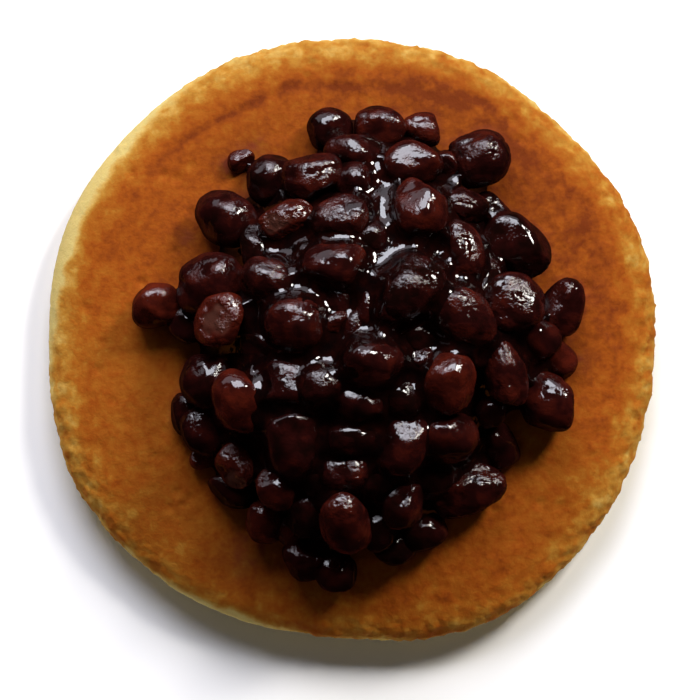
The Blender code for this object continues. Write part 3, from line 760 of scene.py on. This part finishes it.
def bean_frame(bean, index, sizes):
    """A bean's placement: resting on the crust or in the mound, leaning with the slope, turned as
    given and rocked a little at random."""
    x, y, step = bean.across * MM, bean.along * MM, MM
    height = crust_height(x, y, sizes) + bean.width * BEAN_FLATNESS / 2 * MM
    height += mound_rise(x, y, sizes) + bean.lift * MM
    slope_x = (mound_rise(x + step, y, sizes) - mound_rise(x - step, y, sizes)) / (2 * step)
    slope_y = (mound_rise(x, y + step, sizes) - mound_rise(x, y - step, sizes)) / (2 * step)
    up = Vector((-SLOPE_FOLLOWED * slope_x, -SLOPE_FOLLOWED * slope_y, 1.0)).normalized()
    rock = random.Random(SEED + index)
    pitch = math.radians(rock.uniform(-ROCK_LIMIT, ROCK_LIMIT))
    roll = math.radians(rock.uniform(-ROCK_LIMIT, ROCK_LIMIT))
    lean = Vector((0, 0, 1)).rotation_difference(up).to_matrix().to_4x4()
    heading = Matrix.Rotation(math.radians(bean.turn), 4, "Z")
    rocked = Matrix.Rotation(pitch, 4, "Y") @ Matrix.Rotation(roll, 4, "X")
    return Matrix.Translation((x, y, height)) @ lean @ heading @ rocked


def outward(points):
    """Unit normals of closed bodies of (body, row, place round the row, xyz): the cross product of
    the step along the row and the step to the next row, each taken between the neighbours."""
    run_row = np.gradient(points, axis=1)
    run_round = (np.roll(points, -1, axis=2) - np.roll(points, 1, axis=2)) / 2
    return normalized(np.cross(run_row, run_round))


@lru_cache
def bean_shells(kind, sizes):
    """All beans of a kind as one array of (bean, row, place round it, xyz), with their surface's
    attributes.

    Along its length x = cos(u), a bean's girth is (1 - |x|^b)^(1/b), with b its bluntness. One end
    is a little slimmer and the whole a little bent. What passes one of the planes that its
    neighbours press on it is drawn back to that plane by the soft maximum e * log(1 + exp(over / e)).
    Noise then dents and creases it along its normal. A broken bean is flattened where it would pass
    the plane of the break, and its flesh shows there. The film of syrup has run off the flanks."""
    everyone = enumerate((*BEANS, *low_beans()))
    members = [(index, bean) for index, bean in everyone if bean.kind == kind]
    skin = SKINS[kind]
    own = np.array([draws(index, BEAN_DRAWS + 4 * PRESSES) for index, _ in members])
    blunt, taper, bend, tilt_x, tilt_y = (own[:, j, None, None] for j in range(BEAN_DRAWS))
    half = np.array([(b.length, b.width, b.width * BEAN_FLATNESS) for _, b in members]) * MM / 2
    along = np.cos(np.linspace(0.0, np.pi, skin.rows))[None, :, None]
    around = np.linspace(0.0, 2 * np.pi, skin.around, endpoint=False)[None, None, :]
    power = skin.bluntness + BLUNTER * blunt
    girth = np.maximum(1.0 - np.abs(along) ** power, 0.0) ** (1 / power) * (1 + TAPER * taper * along)
    unit = np.stack(
        (
            along + 0 * girth * around,
            girth * np.cos(around),
            girth * np.sin(around) + BEND * bend * (along**2 - 0.4),
        ),
        axis=-1,
    )
    for press in range(PRESSES):
        first = BEAN_DRAWS + 4 * press
        way = normalized(own[:, None, None, first : first + 3])
        limit = skin.press + NEARER * own[:, None, None, first + 3]
        over = np.sum(unit * way, axis=-1) - limit
        unit = unit - (PRESS_EDGE * np.logaddexp(0.0, over / PRESS_EDGE))[..., None] * way
    normal = normalized(unit)
    local = unit * half[:, None, None, :]
    apart = np.array([(37.0 * i, 11.0 * i, 5.0 * i) for i, _ in members])[:, None, None, :] * MM
    place = local + apart
    stretched = place * np.array((0.6, 1.0, 1.0))
    folds = (1 - np.abs(noise(stretched, 1.7, 23))) ** 4
    fine_folds = (1 - np.abs(noise(stretched, 0.9, 24))) ** 4
    patchy = ease(-0.3, 0.3, noise(place, 3.0, 25))
    creases = (folds * 0.65 + fine_folds * 0.35) * (0.3 + 0.7 * patchy)
    small = np.minimum(half[:, 1] / (3.5 * MM), 1.0)[:, None, None]
    relief = (skin.dents * layers(place, DENTS) * small - skin.creases * (creases - 0.3)) * MM
    local = local + relief[..., None] * normal
    flesh = np.zeros(local.shape[:-1])
    if skin.broken:
        tilted = np.broadcast_arrays(0.35 * tilt_x, 0.35 * tilt_y - 0.2, 1.0)
        plane = normalized(np.stack(tilted, axis=-1))
        limit = (1 - skin.broken) * half[:, 2, None, None] + layers(place, MEALY) * MM
        beyond = np.maximum(np.sum(local * plane, axis=-1) - limit, 0.0)
        local = local - beyond[..., None] * plane
        flesh = ease(0.0, 0.4 * MM, beyond) * (0.65 + 0.35 * noise(place, 1.3, 28))
    matrices = np.array([bean_frame(bean, index, sizes) for index, bean in members])
    points = np.einsum("bij,brpj->brpi", matrices[:, :3, :3], local) + matrices[:, None, None, :3, 3]
    tone = np.array([bean.tone for _, bean in members])[:, None, None] + 0 * flesh
    film = film_left(outward(points))
    return points, {"tone": tone, "flesh": flesh, "film": film, "pucker": skin.pucker + 0 * flesh}


# Heights on a square grid over the mound

GRID_STEP = 0.2 * MM
GRID_HALF = 215
# The least upward normal of a point that counts for the tops, and the most that its tangent plane
# may climb to a node beside it.
LEAST_UPRIGHT = 0.2
MOST_CLIMB = 0.15 * MM
# How far past the mound's outline the syrup's patch reaches, and how deep in the crust its edge is.
SYRUP_REACH = 1.16
SYRUP_SINK = 1.2 * MM
# How deep syrup stands in the mound, over the crust, its deeper and shallower pools, and how far its
# surface is let down again once it has crept up the beans.
SYRUP_DEPTH = 3.3
SYRUP_POOLS = ((8, 1.1, 41),)
SYRUP_LET_DOWN = 0.45
# Beans that it has crept up further: across, along, and how far it reaches. It stands that much
# deeper there, and is let down that much less.
SYRUP_CREEPS = ((3.2, -2.2, 5.6), (-15.4, -7.4, 5.8), (-6.0, -5.6, 4.6), (15.2, 5.0, 5.4))
SYRUP_CREEPS += ((6.4, 7.0, 5.6), (-8.3, 3.4, 5.0), (-17.6, 3.8, 4.6), (11.4, 19.8, 4.6))
SYRUP_CREEPS += ((23.4, 6.8, 5.2),)
SYRUP_CREEP_RISE = 0.6
SYRUP_CREEP_HOLD = 0.38
# The share of covered ground at which the syrup begins, its steepest slope, its slope at the foot of
# the mound, and its patch's cells.
SYRUP_EDGE = 0.66
SYRUP_STEEPEST = 6.0
SYRUP_FOOT_SLOPE = 1.5
SYRUP_CELLS = 306


def grid_places():
    """The x and y of the grid's nodes, which lie GRID_STEP apart round the mound's middle."""
    steps = np.arange(-GRID_HALF, GRID_HALF + 1) * GRID_STEP
    return np.meshgrid(steps + MOUND_CENTRE[0] * MM, steps + MOUND_CENTRE[1] * MM, indexing="ij")


def sample(heights, x, y):
    """The map's value at any place, blended from the four nodes round it."""
    most = 2 * GRID_HALF - 1e-6
    i, j = (np.clip(off / GRID_STEP + GRID_HALF, 0, most) for off in from_middle(x, y))
    i0, j0 = i.astype(int), j.astype(int)
    u, v = i - i0, j - j0
    low = heights[i0, j0] * (1 - u) + heights[i0 + 1, j0] * u
    high = heights[i0, j0 + 1] * (1 - u) + heights[i0 + 1, j0 + 1] * u
    return low * (1 - v) + high * v


def shifted(heights, step_i, step_j):
    """The map moved by whole steps. What is moved out at one side comes in at the other, where
    there is only bare crust."""
    return np.roll(heights, (step_i, step_j), axis=(0, 1))


def blurred(heights, reach, times=1):
    """The map averaged over a square that reaches so many steps each way, so many times."""
    steps = range(-reach, reach + 1)
    for _ in range(times):
        heights = sum(shifted(heights, i, 0) for i in steps) / len(steps)
        heights = sum(shifted(heights, 0, j) for j in steps) / len(steps)
    return heights


def no_steeper(heights, slope, times):
    """The map lowered wherever it would be steeper than the slope: so many times over, each node's
    height plus the climb to its neighbour is the most that the neighbour may have."""
    steps = [(i, j) for i, j in product((-1, 0, 1), repeat=2) if (i, j) != (0, 0)]
    for _ in range(times):
        limits = [shifted(heights, i, j) + slope * math.hypot(i, j) * GRID_STEP for i, j in steps]
        heights = np.minimum.reduce((heights, *limits))
    return heights


def drop_on(heights, points):
    """Raises the map to the tops of the bodies: each point carries its tangent plane's height to
    the nine nodes of the grid round it."""
    normal = outward(points)
    seen = (normal[..., 2] > LEAST_UPRIGHT).ravel()
    x, y, z = points.reshape(-1, 3)[seen].T
    nx, ny, nz = normal.reshape(-1, 3)[seen].T
    across, along = from_middle(x, y)
    nearest_i, nearest_j = (np.rint(off / GRID_STEP).astype(int) for off in (across, along))
    for step_i, step_j in product((-1, 0, 1), repeat=2):
        i, j = nearest_i + step_i, nearest_j + step_j
        slope = nx * (across - i * GRID_STEP) + ny * (along - j * GRID_STEP)
        climb = np.clip(slope / nz, -MOST_CLIMB, MOST_CLIMB)
        np.maximum.at(heights, (i + GRID_HALF, j + GRID_HALF), z + climb)


def core_swell(x, y):
    """How full the mound is, from 1 in its middle to 0 at its core's edge, where share is 1:
    1 - (1 - sqrt(1 - share^2))^3."""
    share = mound_share(x, y) / CORE_SHARE
    return 1 - (1 - np.sqrt(np.maximum(1 - share**2, 0.0))) ** CORE_SWELL


@lru_cache
def heap_maps(sizes):
    """Three maps: the bare crust, the tops of core and beans, and how much of the ground nearby is
    covered by them, from 0 to 1."""
    x, y = grid_places()
    bare = crust_height(x, y, sizes)
    level = np.stack((x, y, 0 * x), axis=-1)
    core = (CORE_DEPTH + layers(level, CORE_LUMPS)) * MM
    tops = bare + (mound_rise(x, y, sizes) + core) * core_swell(x, y)
    for kind in SKINS:
        drop_on(tops, bean_shells(kind, sizes)[0])
    return bare, tops, blurred((tops > bare + 0.3 * MM).astype(float), 4, times=3)


def closed_by_ball(tops, radius):
    """The tops closed by a rolling ball, which is how syrup bridges the clefts between beans: each
    height is raised to the ball's resting place, and then lowered by the ball again."""
    reach = int(radius / GRID_STEP)
    offsets = [
        (i, j, math.sqrt(radius**2 - (i * i + j * j) * GRID_STEP**2))
        for i, j in product(range(-reach, reach + 1), repeat=2)
        if (i * i + j * j) * GRID_STEP**2 <= radius**2
    ]
    raised = np.full_like(tops, -1.0)
    for i, j, ball in offsets:
        np.maximum(raised, shifted(tops, i, j) + ball, out=raised)
    closed = np.full_like(tops, 1.0)
    for i, j, ball in offsets:
        np.minimum(closed, shifted(raised, i, j) - ball, out=closed)
    return closed


def disc_places(steps):
    """A square grid spread over a disc of radius 1 with all its cells of one size: the larger of a
    point's two square coordinates is its radius, and their ratio turns it by up to 45 degrees."""
    line = np.linspace(-1.0, 1.0, steps + 1)
    a, b = np.meshgrid(line, line, indexing="ij")
    sideways = np.abs(a) > np.abs(b)
    reach = np.where(sideways, a, b)
    ratio = np.where(sideways, b, a) / np.where(reach == 0, 1.0, reach)
    turn = np.where(sideways, ratio, 2 - ratio) * np.pi / 4
    return reach * np.cos(turn), reach * np.sin(turn)


def border(square):
    """The values on a square array's border, in order round it."""
    return np.concatenate((square[:-1, 0], square[-1, :-1], square[:0:-1, -1], square[0, :0:-1]))


def closed_patch(name, patch, under, material):
    """A mesh from a square patch of (i, j, xyz) that faces up, closed below by rings of
    (ring, place round the patch's border, xyz), the last of which is a pole. The patch's film of
    syrup goes by its normal, the cross product of the steps along i and j."""
    side = patch.shape[0]
    number = np.arange(side * side).reshape(side, side)
    quads = np.stack((number[:-1, :-1], number[1:, :-1], number[1:, 1:], number[:-1, 1:]), axis=-1)
    around, rings = len(border(number)), len(under) - 1
    lower = side * side + np.arange(rings * around).reshape(rings, around)
    loops = np.concatenate((border(number)[None], lower))
    after = np.roll(loops, -1, axis=1)
    walls = np.stack((after[:-1], loops[:-1], loops[1:], after[1:]), axis=-1)
    pole = np.full(around, side * side + rings * around)
    fan = np.stack((after[-1], loops[-1], pole), axis=-1)
    places = np.concatenate((patch.reshape(-1, 3), under[:-1].reshape(-1, 3), under[-1:, 0]))
    faces = quads.reshape(-1, 4).tolist() + walls.reshape(-1, 4).tolist() + fan.tolist()
    normal = normalized(np.cross(np.gradient(patch, axis=0), np.gradient(patch, axis=1)))
    film = np.zeros(len(places))
    film[: side * side] = film_left(normal).ravel()
    return finished(name, places, faces, material, {"film": film})


def syrup_piece(sizes, look):
    """Syrup and crushed beans round the whole beans: the tops, and a pool that swells and thins
    slowly, closed by a rolling ball, let down a little so that the beans stand out, and drawn down
    into the crust under the outer beans."""
    bare, tops, covered = heap_maps(sizes)
    x, y = grid_places()
    depth = (SYRUP_DEPTH + layers(np.stack((x, y, 0 * x), axis=-1), SYRUP_POOLS)) * MM
    creep = np.zeros(x.shape)
    for across, along, spread in SYRUP_CREEPS:
        away = np.hypot(x - across * MM, y - along * MM) / (spread * MM)
        creep = np.maximum(creep, np.exp(-(away**4)))
    depth = depth + SYRUP_CREEP_RISE * MM * creep
    pool = bare + (mound_rise(x, y, sizes) + depth) * core_swell(x, y)
    tops = blurred(np.maximum(tops, pool), 1)
    let_down = SYRUP_LET_DOWN - SYRUP_CREEP_HOLD * creep
    level = closed_by_ball(tops, look.meniscus) - let_down * MM
    foot = np.where(covered > SYRUP_EDGE, np.inf, bare - SYRUP_SINK)
    level = np.minimum(no_steeper(level, SYRUP_STEEPEST, 12), no_steeper(foot, SYRUP_FOOT_SLOPE, 60))
    level = blurred(level, 1, times=2)

    def draped(u, v, heights, drop):
        turn = np.arctan2(v, u)
        reach = np.hypot(u, v) * SYRUP_REACH * mound_outline(turn)
        px = MOUND_CENTRE[0] * MM + reach * np.cos(turn)
        py = MOUND_CENTRE[1] * MM + reach * np.sin(turn)
        return np.stack((px, py, sample(heights, px, py) - drop), axis=-1)

    u, v = disc_places(SYRUP_CELLS)
    patch = draped(u, v, level, 0.0)
    shares = np.array((1.0, 0.5, 0.0))[:, None]
    under = draped(shares * border(u), shares * border(v), bare, 1.5 * SYRUP_SINK)
    dress(closed_patch("azuki_syrup", patch, under, bean_syrup(look)), "bean_heap")


# Settings, operators and panel


class CrustSettings(bpy.types.PropertyGroup):
    """Sizes of the pancake."""

    radius: bpy.props.FloatProperty(
        name="Radius", description="Half the pancake's width", default=45 * MM, unit="LENGTH"
    )
    thickness: bpy.props.FloatProperty(
        name="Thickness",
        description="Height of the top's middle",
        default=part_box("pancake")[1][2],
        unit="LENGTH",
    )
    belly: bpy.props.FloatProperty(
        name="Belly", description="Height of the widest ring", default=4.4 * MM, unit="LENGTH"
    )
    foot: bpy.props.FloatProperty(
        name="Foot", description="Radius of the flat it stands on", default=37 * MM, unit="LENGTH"
    )


class MoundSettings(bpy.types.PropertyGroup):
    """Size of the mound of beans."""

    rise: bpy.props.FloatProperty(
        name="Rise", description="How far the mound lifts its middle", default=13 * MM, unit="LENGTH"
    )


class LookSettings(bpy.types.PropertyGroup):
    """Colours and finish."""

    soaked: bpy.props.FloatVectorProperty(
        name="Soaked crust",
        description="Crust that syrup has soaked into",
        subtype="COLOR",
        size=4,
        default=linear("#6c2c16"),
    )
    flesh: bpy.props.FloatVectorProperty(
        name="Bean flesh",
        description="Mealy inside of a split bean",
        subtype="COLOR",
        size=4,
        default=linear("#452820"),
    )
    meniscus: bpy.props.FloatProperty(
        name="Meniscus",
        description="Radius of the syrup's curve between two beans",
        default=1.8 * MM,
        unit="LENGTH",
    )
    syrup_roughness: bpy.props.FloatProperty(
        name="Syrup roughness", description="0 is a mirror", default=0.06, min=0.0, max=1.0
    )


class StageSettings(bpy.types.PropertyGroup):
    """Camera and light."""

    distance: bpy.props.FloatProperty(
        name="Distance", description="Camera height over the rim", default=1.0, unit="LENGTH"
    )
    field: bpy.props.FloatProperty(
        name="Field", description="Width of the view at the rim", default=103.4 * MM, unit="LENGTH"
    )
    sky_pane: bpy.props.FloatProperty(
        name="Sky pane", description="Radiance of the window's cool pane", default=13.0
    )
    sun_pane: bpy.props.FloatProperty(
        name="Sun pane", description="Radiance of the window's bright pane", default=51.0
    )
    wall_below: bpy.props.FloatProperty(
        name="Wall", description="Radiance of the pale wall below the window", default=1.7
    )
    ambient: bpy.props.FloatProperty(name="Ambient", description="Light from all round", default=0.07)


class DORAYAKI_OT_beans(bpy.types.Operator):
    """Makes the azuki beans, one piece for each kind"""

    bl_idname = "dorayaki.beans"
    bl_label = "Azuki beans"

    def execute(self, context):
        material = azuki_skin(context.scene.dorayaki_look)
        for kind in SKINS:
            points, looks = bean_shells(kind, driving_sizes(context.scene))
            piece = closed_rings(f"azuki_{kind}", points, material, looks)
            dress(piece, "bean_heap")
        return {"FINISHED"}


class DORAYAKI_OT_syrup(bpy.types.Operator):
    """Makes the syrup that fills the clefts between the beans"""

    bl_idname = "dorayaki.syrup"
    bl_label = "Syrup"

    def execute(self, context):
        syrup_piece(driving_sizes(context.scene), context.scene.dorayaki_look)
        return {"FINISHED"}


class DORAYAKI_OT_pancake(bpy.types.Operator):
    """Makes the pancake, darker and redder where the syrup soaks in, with painted shade and light on its
    crust
    """

    bl_idname = "dorayaki.pancake"
    bl_label = "Pancake"

    def execute(self, context):
        pancake_piece(driving_sizes(context.scene), context.scene.dorayaki_look)
        return {"FINISHED"}


def driving_sizes(scene):
    """The crust's and mound's settings as plain numbers."""
    crust = scene.dorayaki_crust
    return Sizes(crust.radius, crust.thickness, crust.belly, crust.foot, scene.dorayaki_mound.rise)


def area_light(name, pane, radiance):
    """A rectangular light that faces the food, with a power of radiance * pi * area."""
    lamp = bpy.data.lights.new(name, "AREA")
    lamp.shape = "RECTANGLE"
    lamp.size, lamp.size_y = LIGHT_DISTANCE * pane.width, LIGHT_DISTANCE * pane.height
    lamp.energy = radiance * math.pi * lamp.size * lamp.size_y
    lamp.color = linear(pane.colour)[:3]
    obj = bpy.data.objects.new(name, lamp)
    turn, tilt = math.radians(pane.azimuth), math.radians(pane.elevation)
    way = Vector((math.cos(turn) * math.cos(tilt), math.sin(turn) * math.cos(tilt), math.sin(tilt)))
    obj.location = LIGHT_DISTANCE * way
    obj.rotation_euler = way.to_track_quat("Z", "Y").to_euler()
    bpy.context.scene.collection.objects.link(obj)


class DORAYAKI_OT_stage(bpy.types.Operator):
    """Makes the floor, the lights and the camera straight above"""

    bl_idname = "dorayaki.stage"
    bl_label = "Stage"

    def execute(self, context):
        scene = context.scene
        stage = scene.dorayaki_stage
        sides = ((-1, -1), (1, -1), (1, 1), (-1, 1))
        corners = [(x * FLOOR_REACH, y * FLOOR_REACH, FLOOR_HEIGHT) for x, y in sides]
        mesh = bpy.data.meshes.new("floor")
        mesh.from_pydata(corners, [], [(0, 1, 2, 3)])
        material, tree, surface = new_material("matte_white_board")
        board = {"Base Color": linear("#fbfaf9"), "Roughness": 0.9}
        shader = add_node(tree, "BsdfPrincipled", (), board)
        tree.links.new(shader.outputs["BSDF"], surface)
        mesh.materials.append(material)
        floor = bpy.data.objects.new("floor", mesh)
        scene.collection.objects.link(floor)
        floor.visible_glossy = False
        for name, pane in PANES.items():
            area_light(name, pane, getattr(stage, name))
        world = bpy.data.worlds.new("studio")
        world.use_nodes = True
        backdrop = world.node_tree.nodes["Background"]
        backdrop.inputs["Color"].default_value = linear("#fbf6ee")
        backdrop.inputs["Strength"].default_value = stage.ambient
        scene.world = world
        world.cycles_visibility.glossy = False
        camera = bpy.data.cameras.new("camera")
        camera.sensor_width = 36.0
        camera.lens = camera.sensor_width * stage.distance / stage.field
        camera.clip_start = 0.01
        eye = bpy.data.objects.new("camera", camera)
        eye.location = (*VIEW_CENTRE, stage.distance + RIM_HEIGHT)
        scene.collection.objects.link(eye)
        scene.camera = eye
        scene.view_settings.view_transform = "Standard"
        scene.view_settings.look = "None"
        return {"FINISHED"}


class DORAYAKI_PT_panel(bpy.types.Panel):
    """Lists the settings, and the steps that make the dorayaki and its stage"""

    bl_idname = "DORAYAKI_PT_panel"
    bl_label = "Dorayaki"
    bl_space_type = "VIEW_3D"
    bl_region_type = "UI"
    bl_category = "Dorayaki"

    def draw(self, context):
        for group_name, group in GROUPS.items():
            box = self.layout.box()
            for setting in group.__annotations__:
                box.prop(getattr(context.scene, group_name), setting)
        for step in STEPS:
            self.layout.operator(step.bl_idname)


STEPS = (DORAYAKI_OT_beans, DORAYAKI_OT_syrup, DORAYAKI_OT_pancake, DORAYAKI_OT_stage)
GROUPS = {
    "dorayaki_crust": CrustSettings,
    "dorayaki_mound": MoundSettings,
    "dorayaki_look": LookSettings,
    "dorayaki_stage": StageSettings,
}


def register():
    for cls in (*GROUPS.values(), *STEPS, DORAYAKI_PT_panel):
        bpy.utils.register_class(cls)
    for name, group in GROUPS.items():
        setattr(bpy.types.Scene, name, bpy.props.PointerProperty(type=group))


def unregister():
    for name in GROUPS:
        delattr(bpy.types.Scene, name)
    for cls in (DORAYAKI_PT_panel, *reversed(STEPS), *reversed(GROUPS.values())):
        bpy.utils.unregister_class(cls)


def main():
    register()
    bpy.ops.dorayaki.beans()
    bpy.ops.dorayaki.syrup()
    bpy.ops.dorayaki.pancake()
    bpy.ops.dorayaki.stage()


if __name__ == "__main__":
    main()
